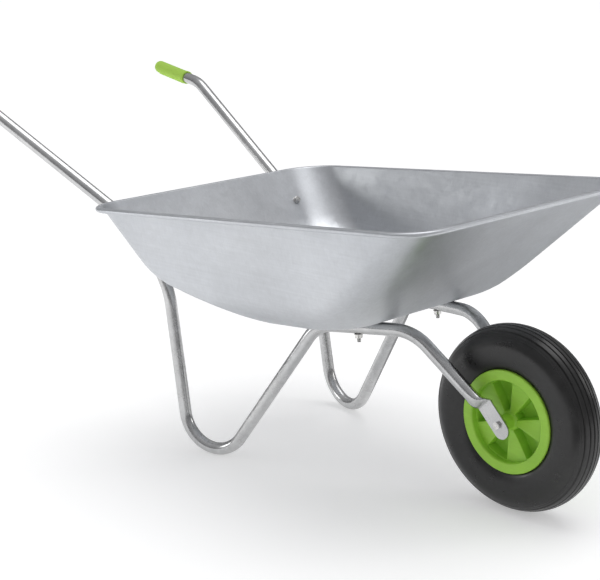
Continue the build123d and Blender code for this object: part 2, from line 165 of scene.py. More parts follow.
def draw_on(step):
    """Extrude the selected ring or face by a step."""
    bpy.ops.mesh.extrude_region_move(TRANSFORM_OT_translate={"value": tuple(step)})


def scale_by(sizes, about):
    bpy.ops.transform.resize(value=tuple(sizes), center_override=tuple(about))


def move_by(step):
    bpy.ops.transform.translate(value=tuple(step))


def true_up():
    """Merge doubles and turn the faces outwards."""
    bpy.ops.mesh.select_mode(type="VERT")
    bpy.ops.mesh.select_all(action="SELECT")
    bpy.ops.mesh.remove_doubles(threshold=1e-6)
    bpy.ops.mesh.normals_make_consistent(inside=False)


def smooth(piece, degrees=40):
    clear()
    piece.select_set(True)
    bpy.context.view_layer.objects.active = piece
    bpy.ops.object.shade_smooth_by_angle(angle=math.radians(degrees))
    bpy.ops.object.select_all(action="DESELECT")


def use(piece, kind, **settings):
    """Add a modifier and apply it."""
    clear()
    piece.select_set(True)
    bpy.context.view_layer.objects.active = piece
    tool = piece.modifiers.new(kind.lower(), kind)
    for key, value in settings.items():
        setattr(tool, key, value)
    bpy.ops.object.modifier_apply(modifier=tool.name)


def put(piece, place):
    """Move a finished piece by a matrix and leave the move in its mesh."""
    clear()
    piece.matrix_world = place
    piece.select_set(True)
    bpy.context.view_layer.objects.active = piece
    bpy.ops.object.transform_apply(location=True, rotation=True, scale=True)
    bpy.ops.object.select_all(action="DESELECT")


def copy_of(piece, name):
    twin = piece.copy()
    twin.data = piece.data.copy()
    twin.name = name
    twin.data.name = name
    bpy.context.scene.collection.objects.link(twin)
    return twin


def weld(pieces, name):
    """Join several meshes into one piece."""
    clear()
    for p in pieces:
        p.select_set(True)
    bpy.context.view_layer.objects.active = pieces[0]
    bpy.ops.object.join()
    pieces[0].name = name
    pieces[0].data.name = name
    return pieces[0]


def hand_over(piece, body, material, nodes):
    """Give a finished piece its body, its finish and the nodes it stands for."""
    piece.data.materials.clear()
    piece.data.materials.append(material)
    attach(piece, body)
    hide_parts(*nodes)


def rounded(points, radii, steps=10):
    """Line through points with its inner corners rounded."""
    out = [Vector(points[0])]
    for before, corner, after, r in zip(points, points[1:], points[2:], radii):
        v = Vector(corner)
        a = Vector(before) - v
        b = Vector(after) - v
        la, lb = a.length, b.length
        a.normalize()
        b.normalize()
        half = math.acos(max(-1, min(1, a.dot(b)))) / 2
        run = min(r / math.tan(half), 0.49 * la, 0.49 * lb)
        r = run * math.tan(half)
        centre = v + (a + b).normalized() * (r / math.sin(half))
        for k in range(steps + 1):
            m = v + a * run * (1 - k / steps) + b * run * (k / steps)
            out.append(centre + (m - centre).normalized() * r)
    out.append(Vector(points[-1]))
    return out


def turned(name, outline, steps, centre=AXLE):
    """Ring spun about a line along Y from a closed outline of (radius, y)."""
    clear()
    n = len(outline)
    bpy.ops.mesh.primitive_circle_add(vertices=n, radius=0.01, location=centre, rotation=(math.pi / 2, 0, 0))
    piece = settle(name)
    order = picked()
    mesh = work()
    mesh.verts.ensure_lookup_table()
    start = [mesh.verts[i].co.copy() for i in order]
    for i, at, (r, y) in zip(order, start, outline):
        pick([i])
        move_by(Vector((centre.x + r, centre.y + y, centre.z)) - at)
    bpy.ops.mesh.select_all(action="SELECT")
    bpy.ops.mesh.spin(steps=steps, angle=2 * math.pi, center=tuple(centre), axis=(0, 1, 0))
    true_up()
    clear()
    return piece


# ---------- finishes ----------
class Finish:
    """A node material being put together."""

    def __init__(self, name):
        self.made = bpy.data.materials.new(name)
        self.made.use_nodes = True
        self.tree = self.made.node_tree
        self.shader = self.tree.nodes["Principled BSDF"]
        self.coords = self.tree.nodes.new("ShaderNodeTexCoord").outputs["Object"]

    def set(self, **values):
        for key, value in values.items():
            self.shader.inputs[key.replace("_", " ")].default_value = value

    def node(self, kind, **settings):
        made = self.tree.nodes.new("ShaderNode" + kind)
        for key, value in settings.items():
            setattr(made, key, value)
        return made

    def join(self, a, b):
        self.tree.links.new(a, b)

    def stretched(self, scale, turn=(0, 0, 0)):
        m = self.node("Mapping")
        m.inputs["Scale"].default_value = scale
        m.inputs["Rotation"].default_value = turn
        self.join(self.coords, m.inputs["Vector"])
        return m.outputs["Vector"]

    def noise(self, scale, detail=4.0, rough=0.55, distort=0.0, coords=None):
        n = self.node("TexNoise")
        n.inputs["Scale"].default_value = scale
        n.inputs["Detail"].default_value = detail
        n.inputs["Roughness"].default_value = rough
        n.inputs["Distortion"].default_value = distort
        self.join(coords or self.coords, n.inputs["Vector"])
        return n.outputs["Fac"]

    def cells(self, scale, coords=None):
        """Crystal flakes: one grey for each."""
        v = self.node("TexVoronoi")
        v.inputs["Scale"].default_value = scale
        self.join(coords or self.coords, v.inputs["Vector"])
        grey = self.node("RGBToBW")
        self.join(v.outputs["Color"], grey.inputs["Color"])
        return grey.outputs["Val"]

    def span(self, value, low, high, start=0.0, end=1.0):
        """Map a value from start..end to low..high."""
        m = self.node("MapRange")
        for socket, number in zip(("From Min", "From Max", "To Min", "To Max"), (start, end, low, high)):
            m.inputs[socket].default_value = number
        self.join(value, m.inputs["Value"])
        return m.outputs["Result"]

    def times(self, a, b, how="MULTIPLY"):
        m = self.node("Math", operation=how)
        self.join(a, m.inputs[0])
        if isinstance(b, float):
            m.inputs[1].default_value = b
        else:
            self.join(b, m.inputs[1])
        return m.outputs[0]

    def tint(self, value, stops):
        """Colour ramp over a value."""
        r = self.node("ValToRGB")
        ramp = r.color_ramp
        while len(ramp.elements) < len(stops):
            ramp.elements.new(0.5)
        for element, (at, colour) in zip(ramp.elements, stops):
            element.position = at
            element.color = (*colour, 1)
        self.join(value, r.inputs["Fac"])
        return r.outputs["Color"]

    def shade(self, colour, value):
        """Colour made lighter or darker by a grey value."""
        m = self.node("Mix", data_type="RGBA", blend_type="MULTIPLY")
        m.inputs["Factor"].default_value = 1.0
        self.join(colour, m.inputs["A"])
        self.join(value, m.inputs["B"])
        return m.outputs["Result"]

    def bump(self, height, strength, distance):
        b = self.node("Bump")
        b.inputs["Strength"].default_value = strength
        b.inputs["Distance"].default_value = distance
        self.join(height, b.inputs["Height"])
        last = self.shader.inputs["Normal"]
        if last.is_linked:
            self.join(last.links[0].from_socket, b.inputs["Normal"])
        self.join(b.outputs["Normal"], last)


def galvanised_sheet():
    """Zinc-dipped sheet: faint flakes, rolling streaks, cloudy patches and handling scuffs."""
    f = Finish("galvanised_sheet")
    flakes = f.span(f.cells(85, f.stretched((1, 1, 1), (0.3, 0.2, 0.5))), 0.955, 1.03)
    clouds = f.span(f.noise(4.5, 3, 0.5, 0.6), 0.93, 1.06, 0.3, 0.7)
    streaks = f.span(f.noise(1.0, 5, 0.6, 0.0, f.stretched((4, 210, 210))), 0.965, 1.03, 0.3, 0.7)
    scuffs = f.span(f.noise(1.0, 3, 0.5, 0.0, f.stretched((260, 260, 14), (0.2, 0.5, 0.1))), 0.985, 1.03, 0.35, 0.75)
    grey = f.tint(f.noise(2.2, 2), ((0.3, (0.585, 0.605, 0.635)), (0.7, (0.635, 0.65, 0.67))))
    tone = f.times(f.times(flakes, clouds), f.times(streaks, scuffs))
    f.join(f.shade(grey, tone), f.shader.inputs["Base Color"])
    gloss = f.times(f.span(f.cells(85, f.stretched((1, 1, 1), (0.3, 0.2, 0.5))), 0.40, 0.48),
                    f.span(f.noise(9, 4, 0.6), 0.9, 1.12, 0.3, 0.7))
    f.join(gloss, f.shader.inputs["Roughness"])
    f.set(Metallic=0.92)
    f.bump(f.noise(7, 2, 0.5), 0.25, 0.004)
    f.bump(f.noise(1.0, 4, 0.6, 0.0, f.stretched((6, 260, 260))), 0.05, 0.0004)
    return f.made


def zinc_tube():
    """Bright zinc on drawn tube: mottled patches and fine pulls along the metal."""
    f = Finish("zinc_tube")
    patches = f.span(f.noise(34, 5, 0.62, 0.8), 0.86, 1.06, 0.3, 0.72)
    specks = f.span(f.cells(330), 0.965, 1.02)
    grey = f.tint(f.noise(6, 2), ((0.3, (0.55, 0.555, 0.56)), (0.7, (0.63, 0.63, 0.63))))
    f.join(f.shade(grey, f.times(patches, specks)), f.shader.inputs["Base Color"])
    f.join(f.span(f.noise(40, 5, 0.6), 0.17, 0.31, 0.3, 0.7), f.shader.inputs["Roughness"])
    f.set(Metallic=1.0)
    f.bump(f.noise(90, 4, 0.6), 0.08, 0.0006)
    return f.made


def zinc_fastener():
    """Bright plated fasteners, duller in random patches and lightly scratched."""
    f = Finish("zinc_fastener")
    worn = f.span(f.noise(180, 5, 0.6, 0.5), 0.80, 1.08, 0.3, 0.7)
    grey = f.tint(f.noise(60, 2), ((0.35, (0.66, 0.66, 0.65)), (0.65, (0.78, 0.77, 0.75))))
    f.join(f.shade(grey, worn), f.shader.inputs["Base Color"])
    f.join(f.span(f.noise(240, 4), 0.18, 0.36, 0.3, 0.7), f.shader.inputs["Roughness"])
    f.set(Metallic=1.0)
    f.bump(f.noise(400, 3), 0.10, 0.0002)
    return f.made


def green_moulding():
    """Moulded green plastic with a fine grain, flow marks and a dusting of wear."""
    f = Finish("green_moulding")
    base = f.tint(f.noise(16, 3, 0.5, 0.4), ((0.3, (0.30, 0.59, 0.045)), (0.7, (0.35, 0.66, 0.06))))
    flow = f.span(f.noise(1.0, 3, 0.5, 0.0, f.stretched((30, 30, 160))), 0.96, 1.03, 0.3, 0.7)
    f.join(f.shade(base, flow), f.shader.inputs["Base Color"])
    f.join(f.span(f.noise(70, 4), 0.36, 0.50, 0.3, 0.7), f.shader.inputs["Roughness"])
    f.bump(f.noise(900, 3, 0.6), 0.12, 0.0002)
    f.bump(f.noise(45, 2), 0.06, 0.0012)
    return f.made


def green_grip():
    """Soft lime rubber: matt, slightly blotchy, with a pebbled skin."""
    f = Finish("green_grip")
    base = f.tint(f.noise(26, 3, 0.5, 0.5), ((0.3, (0.275, 0.52, 0.030)), (0.7, (0.34, 0.60, 0.05))))
    f.join(base, f.shader.inputs["Base Color"])
    f.join(f.span(f.noise(90, 4), 0.48, 0.62, 0.3, 0.7), f.shader.inputs["Roughness"])
    f.bump(f.cells(900), 0.10, 0.0002)
    f.bump(f.noise(60, 3), 0.10, 0.0012)
    return f.made


def tyre_rubber():
    """Black tyre rubber with a grey bloom, mould marks and a matt skin."""
    f = Finish("tyre_rubber")
    bloom = f.tint(f.noise(11, 5, 0.6, 0.5), ((0.3, (0.0105, 0.0105, 0.0105)), (0.72, (0.019, 0.0185, 0.0185))))
    dust = f.span(f.noise(120, 5, 0.7), 0.85, 1.22, 0.35, 0.75)
    f.join(f.shade(bloom, dust), f.shader.inputs["Base Color"])
    f.join(f.span(f.noise(30, 5, 0.6), 0.25, 0.36, 0.3, 0.7), f.shader.inputs["Roughness"])
    f.bump(f.noise(650, 4, 0.6), 0.16, 0.0003)
    f.bump(f.noise(38, 3), 0.12, 0.0012)
    return f.made


def plain_moulding(name, dark, light, rough):
    """Small moulded or turned parts: slight mottling and a fine grain."""
    f = Finish(name)
    f.join(f.tint(f.noise(70, 4), ((0.3, dark), (0.7, light))), f.shader.inputs["Base Color"])
    f.join(f.span(f.noise(150, 4), rough - 0.07, rough + 0.07, 0.3, 0.7), f.shader.inputs["Roughness"])
    f.bump(f.noise(700, 3), 0.10, 0.0002)
    return f


# ---------- tray ----------
def wall_lines():
    """Inner face of the rear, front and side walls as (inset, depth), bead line to floor."""
    def down(angle, depth):
        return FLANGE + (depth + BEAD_R) / math.tan(math.radians(angle))

    def inwards(points):
        lines = []
        for p, q in zip(points, points[1:]):
            d = (Vector(q) - Vector(p)).normalized()
            lines.append((Vector(p) + Vector((d.y, -d.x)) * SHEET, d))
        out = []
        for (p, d), (q, e) in zip(lines, lines[1:]):
            k = ((q - p).x * e.y - (q - p).y * e.x) / (d.x * e.y - d.y * e.x)
            out.append(p + d * k)
        p, d = lines[0]
        top = p - d * ((p.y + BEAD_R) / d.y)
        return [Vector((0, -BEAD_R)), top] + out + [out[-1] + lines[-1][1] * FLOOR_RUN]

    knee = down(REAR_ANGLE, REAR_KNEE)
    ramp = knee + (DEPTH - REAR_KNEE) / math.tan(math.radians(REAR_RAMP))
    rear = [(FLANGE, -BEAD_R), (knee, REAR_KNEE), (ramp, DEPTH), (ramp + FLOOR_RUN, DEPTH)]
    front = [(FLANGE, -BEAD_R), (down(FRONT_ANGLE, DEPTH), DEPTH), (0.9, DEPTH)]
    side = [(FLANGE, -BEAD_R), (down(SIDE_ANGLE, DEPTH), DEPTH), (0.9, DEPTH)]
    return (rounded(inwards(rear), (EDGE_R, 0.1188, 0.1488)), rounded(inwards(front), (EDGE_R, 0.0988)),
            rounded(inwards(side), (EDGE_R, 0.0848)))


def inset_at(line, depth):
    """Inset of a wall line at one depth."""
    for a, b in zip(line, line[1:]):
        if depth <= b.y and b.y > a.y + 1e-9:
            return a.x + (b.x - a.x) * (depth - a.y) / (b.y - a.y)
    return line[-2].x


def tray_rings():
    """Every ring of the sheet: height, four insets and corner radii, curl first, floor last."""
    rings = []
    for k in range(13):
        turn = math.radians(258 - 258 * k / 12)
        inset = -BEAD_R * math.sin(turn)
        rings.append((BEAD_R * math.cos(turn), (inset,) * 3, RIM_R_REAR - inset, RIM_R_FRONT - inset))
    lines = wall_lines()
    starts = [line[1].x for line in lines]
    rings.append((BEAD_R, starts, RIM_R_REAR - starts[0], RIM_R_FRONT - starts[1]))
    low = DEPTH - SHEET
    edge = [-BEAD_R + d for d in (0.00012, 0.0004, 0.0009, 0.0016, 0.003)]
    wall = [-BEAD_R + (low + BEAD_R) * s for s in
            (.09, .24, .36, .46, .53, .59, .64, .69, .74, .79, .84, .88, .915, .94, .96, .975, .988, .996, 1)]
    for depth in edge + wall:
        t = (depth + BEAD_R) / (DEPTH + BEAD_R)
        insets = [inset_at(line, depth) for line in lines]
        r0 = (RIM_R_REAR - FLANGE) * (1 - t) + FLOOR_R_REAR * t - SHEET
        r1 = (RIM_R_FRONT - FLANGE) * (1 - t) + FLOOR_R_FRONT * t - SHEET
        rings.append((-depth, insets, r0, r1))
    return rings


def corners_of(ring):
    """Arc centre and radius of each corner of a ring."""
    z, (rear, front, side), r0, r1 = ring
    half = RIM_HALF - side
    return {(end, hand): (Vector((rear + r0 if end < 0 else RIM_LEN - front - r1,
                                  hand * (half - (r0 if end < 0 else r1)), z)),
                          r0 if end < 0 else r1)
            for end in (-1, 1) for hand in (-1, 1)}


def press_tray():
    """Sheet drawn down ring by ring from its rolled edge to the floor."""
    clear()
    rings = tray_rings()
    z, insets, r0, r1 = rings[0]
    grow = -insets[0]
    middle = RIM_LEN / 2
    bpy.ops.mesh.primitive_plane_add(size=2, location=(middle, 0, z),
                                     scale=(middle + grow, RIM_HALF + grow, 1))
    tray = bpy.context.object
    tray.scale = (middle + grow, RIM_HALF + grow, 1)
    settle("tray_pan")
    for end, r in ((-1, r0), (1, r1)):
        pick_where(lambda p: (p.x - middle) * end > middle * 0.9)
        bpy.ops.mesh.bevel(offset=r, offset_type="OFFSET", segments=14, affect="VERTICES")
    bpy.ops.mesh.select_all(action="SELECT")
    bpy.ops.mesh.delete(type="ONLY_FACE")
    bpy.ops.mesh.select_all(action="SELECT")
    before = corners_of(rings[0])
    for ring in rings[1:]:
        after = corners_of(ring)
        draw_on((0, 0, ring[0] - z))
        z = ring[0]
        loop = picked()
        mesh = work()
        mesh.verts.ensure_lookup_table()
        groups = {key: [] for key in after}
        split = (before[(-1, 1)][0].x + before[(1, 1)][0].x) / 2
        for n in loop:
            p = mesh.verts[n].co
            groups[(1 if p.x > split else -1, 1 if p.y > 0 else -1)].append(n)
        for key, numbers in groups.items():
            old, r_old = before[key]
            new, r_new = after[key]
            pick(numbers)
            about = Vector((old.x, old.y, z))
            scale_by((r_new / r_old, r_new / r_old, 1), about)
            move_by(new - about)
        pick(loop)
        before = after
    bpy.ops.mesh.edge_face_add()
    for x in (0.12, 0.20, 0.30, 0.42, 0.54, 0.66, 0.76):
        bpy.ops.mesh.select_all(action="SELECT")
        bpy.ops.mesh.bisect(plane_co=(x, 0, 0), plane_no=(1, 0, 0))
    for y in (-0.15, -0.09, -0.03, 0.03, 0.09, 0.15):
        bpy.ops.mesh.select_all(action="SELECT")
        bpy.ops.mesh.bisect(plane_co=(0, y, 0), plane_no=(0, 1, 0))
    true_up()
    clear()
    return tray


def finish_tray(material):
    tray = press_tray()
    mesh = tray.data
    mesh.update()
    floor = min(mesh.polygons, key=lambda p: p.center.z)
    if floor.normal.z < 0:
        bpy.context.view_layer.objects.active = tray
        tray.select_set(True)
        bpy.ops.object.mode_set(mode="EDIT")
        bpy.ops.mesh.select_all(action="SELECT")
        bpy.ops.mesh.flip_normals()
        clear()
    use(tray, "SOLIDIFY", thickness=SHEET, offset=-1.0, use_quality_normals=True)
    put(tray, Matrix.Translation(RIM_REAR) @ Matrix.Rotation(-RIM_TILT, 4, "Y"))
    smooth(tray, 32)
    hand_over(tray, "barrow", material, ["tray"])


# ---------- side frames ----------
def station(hand, p):
    """Side-view point put on one side frame."""
    return Vector((AXLE.x + p[0], hand * (0.0635 - 0.2186 * p[0] - 0.0415 * p[1]), p[1]))


def strap_bench(hand):
    """Place of the flat fork end: X along the strap to its nose, Y across the barrow."""
    return Matrix.Translation((AXLE.x, hand * STRAP_Y, AXLE.z)) @ Matrix.Rotation(STRAP_DROP, 4, "Y")


def squeeze_rings():
    """Pressed shoulder of the fork end: place along it, outward shift, drop, half width, half thickness."""
    return ((-0.0745, 0.0099, -0.0083, 0.0128, 0.0122), (-0.0660, 0.0087, -0.0075, 0.0134, 0.0118),
            (-0.0600, 0.0078, -0.0068, 0.0142, 0.0112), (-0.0560, 0.0068, -0.0058, 0.0149, 0.0102),
            (-0.0525, 0.0054, -0.0042, 0.0157, 0.0084), (-0.0495, 0.0038, -0.0026, 0.0163, 0.0062),
            (-0.0472, 0.0021, -0.0012, 0.0168, 0.0042), (-0.0454, 0.0007, -0.0003, 0.0170, 0.0025),
            (-0.0440, 0, 0, 0.0170, 0.0018), (-0.0410, 0, 0, 0.0170, 0.0018), (0.0110, 0, 0, 0.0170, 0.0018))


def bend_tube(hand):
    """One side frame bent from a straight tube, its fork end squeezed flat."""
    bench = strap_bench(hand).inverted()
    pts = [bench @ station(hand, p) for p in STATIONS]
    way = (pts[1] - pts[0]).normalized()
    clear()
    bpy.ops.mesh.primitive_circle_add(vertices=TUBE_SIDES, radius=TUBE_R, location=pts[0],
                                      rotation=way.to_track_quat("Z", "Y").to_euler())
    tube = settle("frame_tube_bent")
    last = pts[0]
    for before, corner, after, r in zip(pts, pts[1:], pts[2:], BEND_R):
        a = (before - corner).normalized()
        b = (after - corner).normalized()
        half = math.acos(a.dot(b)) / 2
        run = r / math.tan(half)
        start = corner + a * run
        draw_on(start - last)
        centre = corner + (a + b).normalized() * (r / math.sin(half))
        turn = math.pi - 2 * half
        axis = (-a).cross(b).normalized()
        bpy.ops.mesh.spin(steps=max(4, round(math.degrees(turn) / 4)), angle=-turn,
                          center=tuple(centre), axis=tuple(axis))
        last = corner + b * run
    draw_on(pts[-1] - last)
    at = pts[-1]
    wide = TUBE_R
    ring = picked()
    for x, out, drop, half_w, half_t in squeeze_rings():
        to = Vector((x, hand * out, drop))
        draw_on(to - at)
        ring = picked()
        scale_by((0, 1, half_w / wide), to)
        for sign in (-1, 1):
            level = to.y + sign * half_t
            if pick_where(lambda p: (p.y - level) * sign > 0, ring):
                scale_by((1, 0, 1), (to.x, level, to.z))
        pick(ring)
        at, wide = to, half_w
    for turn in (22, 40, 55, 68, 79):
        half_w = 0.017 * math.cos(math.radians(turn))
        to = Vector((0.011 + 0.017 * math.sin(math.radians(turn)), 0, 0))
        draw_on(to - at)
        scale_by((1, 1, half_w / wide), to)
        at, wide = to, half_w
    bpy.ops.mesh.edge_face_add()
    pick_where(lambda p: (p - pts[0]).length < TUBE_R * 1.01)
    bpy.ops.mesh.edge_face_add()
    true_up()
    clear()
    put(tube, strap_bench(hand))
    return tube


def bore(piece, spot, axis, radius, length):
    """Drill a round hole through a piece."""
    clear()
    turn = axis.to_track_quat("Z", "Y").to_euler()
    bpy.ops.mesh.primitive_cylinder_add(vertices=24, radius=radius, depth=length, location=spot, rotation=turn)
    drill = settle("drill")
    clear()
    use(piece, "BOOLEAN", operation="DIFFERENCE", object=drill, solver="EXACT")
    bpy.data.objects.remove(drill)


def make_frames(material):
    for hand, side in ((1, "left"), (-1, "right")):
        tube = bend_tube(hand)
        bore(tube, Vector((AXLE.x, hand * STRAP_Y, AXLE.z)), Vector((0, 1, 0)), 0.0043, 0.02)
        tube.name = f"side_frame_{side}"
        tube.data.name = tube.name
        smooth(tube, 38)
        hand_over(tube, "barrow", material, [f"frame_tube_{side}"])


# ---------- grips ----------
def mould_grip(hand, side, material):
    """Rubber sleeve with a domed end, a collar at its mouth and finger ribs beneath."""
    ends = [station(hand, p) for p in STATIONS[:2]]
    way = (ends[1] - ends[0]).normalized()
    clear()
    bpy.ops.mesh.primitive_circle_add(vertices=36, radius=0.005, location=(0, 0, 0))
    grip = settle(f"handle_grip_{side}")
    rings = [(0.0002, 0.0078, 0), (0.0010, 0.0103, 0), (0.0024, 0.0123, 0), (0.0044, 0.0138, 0),
             (0.0070, 0.01455, 0), (0.0095, GRIP_R, 0)]
    for k in range(8):
        s = 0.0225 + 0.0150 * k
        rings += [(s - 0.0040, GRIP_R, 0), (s - 0.0026, GRIP_R, 1), (s + 0.0026, GRIP_R, 0.5),
                  (s + 0.0040, GRIP_R, -1)]
    rings += [(0.1375, GRIP_R, 0), (0.1383, 0.01535, 0), (0.1392, 0.0156, 0), (0.1440, 0.0156, 0),
              (0.1455, 0.0152, 0), (0.1460, 0.0144, 0), (0.1460, 0.01262, 0), (0.1300, 0.01262, 0)]
    z, r = 0.0, 0.005
    for at, new, rib in rings:
        draw_on((0, 0, at - z))
        ring = picked()
        scale_by((new / r, new / r, 1), (0, 0, at))
        if abs(rib) == 1:
            pick_where(lambda p: p.x > 0.0004, ring)
            scale_by((1.14 if rib > 0 else 1 / 1.14, 1, 1), (0, 0, at))
            pick(ring)
        z, r = at, new
    bpy.ops.mesh.edge_face_add()
    pick_where(lambda p: p.z < 0.0001)
    bpy.ops.mesh.edge_face_add()
    true_up()
    clear()
    down = Vector((0, 0, -1))
    down = (down - way * down.dot(way)).normalized()
    place = Matrix((down, way.cross(down), way)).transposed().to_4x4()
    put(grip, Matrix.Translation(ends[0] - way * 0.008) @ place)
    smooth(grip, 45)
    hand_over(grip, "barrow", material, [f"grip_{side}"])


# ---------- fasteners ----------
def hexagon(name, flats, height, dish):
    """Hexagon along Z with knocked-off corners and a dished or raised middle."""
    clear()
    bpy.ops.mesh.primitive_cylinder_add(vertices=6, radius=flats / math.sqrt(3), depth=height,
                                        location=(0, 0, height / 2))
    piece = settle(name)
    bpy.ops.mesh.select_mode(type="FACE")
    pick_faces(lambda c, n: abs(n.z) > 0.9)
    bpy.ops.mesh.inset(thickness=flats * 0.05, depth=0)
    move = flats * 0.045
    pick_faces(lambda c, n: n.z > 0.9 and (c.xy).length < flats * 0.1)
    pick_edges(lambda c, e: abs(e.verts[0].co.z - e.verts[1].co.z) < 1e-6
               and c.xy.length > flats * 0.47 and c.z > height * 0.9)
    bpy.ops.mesh.bevel(offset=move, segments=2, affect="EDGES")
    pick_edges(lambda c, e: abs(e.verts[0].co.z - e.verts[1].co.z) > height * 0.5 and c.xy.length > flats * 0.5)
    bpy.ops.mesh.bevel(offset=flats * 0.012, segments=2, affect="EDGES")
    pick_faces(lambda c, n: n.z > 0.9 and c.xy.length < flats * 0.1)
    bpy.ops.mesh.inset(thickness=flats * 0.12, depth=0)
    bpy.ops.mesh.inset(thickness=flats * 0.03, depth=dish)
    clear()
    return piece


def shank(name, radius, low, high, threaded):
    """Bolt shank along Z with thread ridges over its end below a height."""
    clear()
    bpy.ops.mesh.primitive_circle_add(vertices=20, radius=radius * 0.8, location=(0, 0, low))
    piece = settle(name)
    z, r = low, radius * 0.8
    rings = [(low + 0.0006, radius * 0.97)]
    pitch = radius * 0.31
    at = low + 0.0006
    while at + pitch < threaded:
        rings += [(at + pitch * 0.35, radius * 0.86), (at + pitch * 0.5, radius * 0.86), (at + pitch, radius)]
        at += pitch
    rings += [(threaded + pitch * 0.3, radius * 0.97), (high, radius * 0.97)]
    for at, size in rings:
        draw_on((0, 0, at - z))
        scale_by((size / r, size / r, 1), (0, 0, at))
        z, r = at, size
    bpy.ops.mesh.edge_face_add()
    pick_where(lambda p: p.z < low + 1e-5)
    bpy.ops.mesh.edge_face_add()
    true_up()
    clear()
    return piece


def ring_plate(name, hole, radius, thick):
    """Flat washer along Z with eased edges."""
    ease = thick * 0.25
    outline = [(hole, ease), (hole + ease, 0), (radius - ease, 0), (radius, ease), (radius, thick - ease),
               (radius - ease, thick), (hole + ease, thick), (hole, thick - ease)]
    piece = turned(name, [(r, y) for r, y in outline], 40, Vector((0, 0, 0)))
    put(piece, Matrix.Rotation(math.pi / 2, 4, "X"))
    return piece


def on_axis(at, axis):
    return Matrix.Translation(at) @ axis.to_track_quat("Z", "Y").to_matrix().to_4x4()


def tray_fasteners(material):
    """Hexagon bolts with washers inside the tray and nuts under the tubes."""
    head = hexagon("bolt_head", 0.013, 0.0053, 0.0003)
    nut = hexagon("bolt_nut", 0.013, 0.0065, -0.0008)
    plate = ring_plate("bolt_washer", 0.0043, 0.0085, 0.0016)
    rod = shank("bolt_shank", 0.004, -0.0412, 0.003, -0.0300)
    sets = (("rear_wall", -0.789, Vector((0.7714025, 0, 0.6363475)), -0.79868, 0.428055, 0.436041),
            ("floor", -0.2904, Vector((-math.sin(RIM_TILT), 0, math.cos(RIM_TILT))), None, None, None))
    for name, sx, axis, cx, cz, face_z in sets:
        if cx is None:
            face_z = floor_under(sx)
            cx, cz = sx - axis.x * 0.01255, face_z - axis.z * 0.01255
        parts = {"bolts": [], "washers": [], "nut_washers": [], "nuts": []}
        for hand in (-1, 1):
            at = station(hand, (cx, cz)) + axis * 0.01255
            parts["bolts"].append(weld([placed(head, at + axis * 0.00295, axis), placed(rod, at, axis)], "b"))
            parts["washers"].append(placed(plate, at + axis * 0.0013, axis))
            parts["nut_washers"].append(placed(plate, at - axis * 0.0267, axis))
            parts["nuts"].append(placed(nut, at - axis * 0.02675, -axis))
        for kind, pieces in parts.items():
            whole = weld(pieces, f"{name}_{kind}_pair")
            smooth(whole, 35)
            hand_over(whole, "barrow", material, [f"{name}_{kind}"])
    for spare in (head, nut, plate, rod):
        bpy.data.objects.remove(spare)


def floor_under(sx):
    """Height of the floor's underside at a station."""
    x = RIM_REAR.x - AXLE.x + RIM_LEN / 2 * math.cos(RIM_TILT) + DEPTH * math.sin(RIM_TILT)
    z = RIM_REAR.z + RIM_LEN / 2 * math.sin(RIM_TILT) - DEPTH * math.cos(RIM_TILT)
    return z + (sx - x) * math.tan(RIM_TILT)


def placed(piece, at, axis):
    twin = copy_of(piece, piece.name + "_copy")
    put(twin, on_axis(at, axis))
    return twin


def axle_fasteners(material):
    """Axle bolt with a turned-down end, its nut and washer."""
    across = Vector((0, 1, 0))
    head = hexagon("axle_head", 0.013, 0.0053, 0.0003)
    put(head, on_axis(AXLE - across * 0.05885, -across))
    rod = shank("axle_rod", 0.004, -0.0670, 0.0590, -0.0590)
    put(rod, on_axis(AXLE, -across))
    pilot = shank("axle_pilot", 0.0032, -0.0740, -0.0660, -0.0735)
    put(pilot, on_axis(AXLE, -across))
    nut = hexagon("axle_nut_hex", 0.013, 0.0065, -0.0008)
    put(nut, on_axis(AXLE + across * 0.0605, across))
    plate = ring_plate("axle_washer_plate", 0.0043, 0.0085, 0.0016)
    put(plate, on_axis(AXLE + across * 0.05885, across))
    bolt = weld([head, rod, pilot], "axle_bolt_hex")
    for piece, node in ((bolt, "axle_bolt"), (nut, "axle_nut"), (plate, "axle_washer")):
        smooth(piece, 35)
        hand_over(piece, "barrow", material, [node])


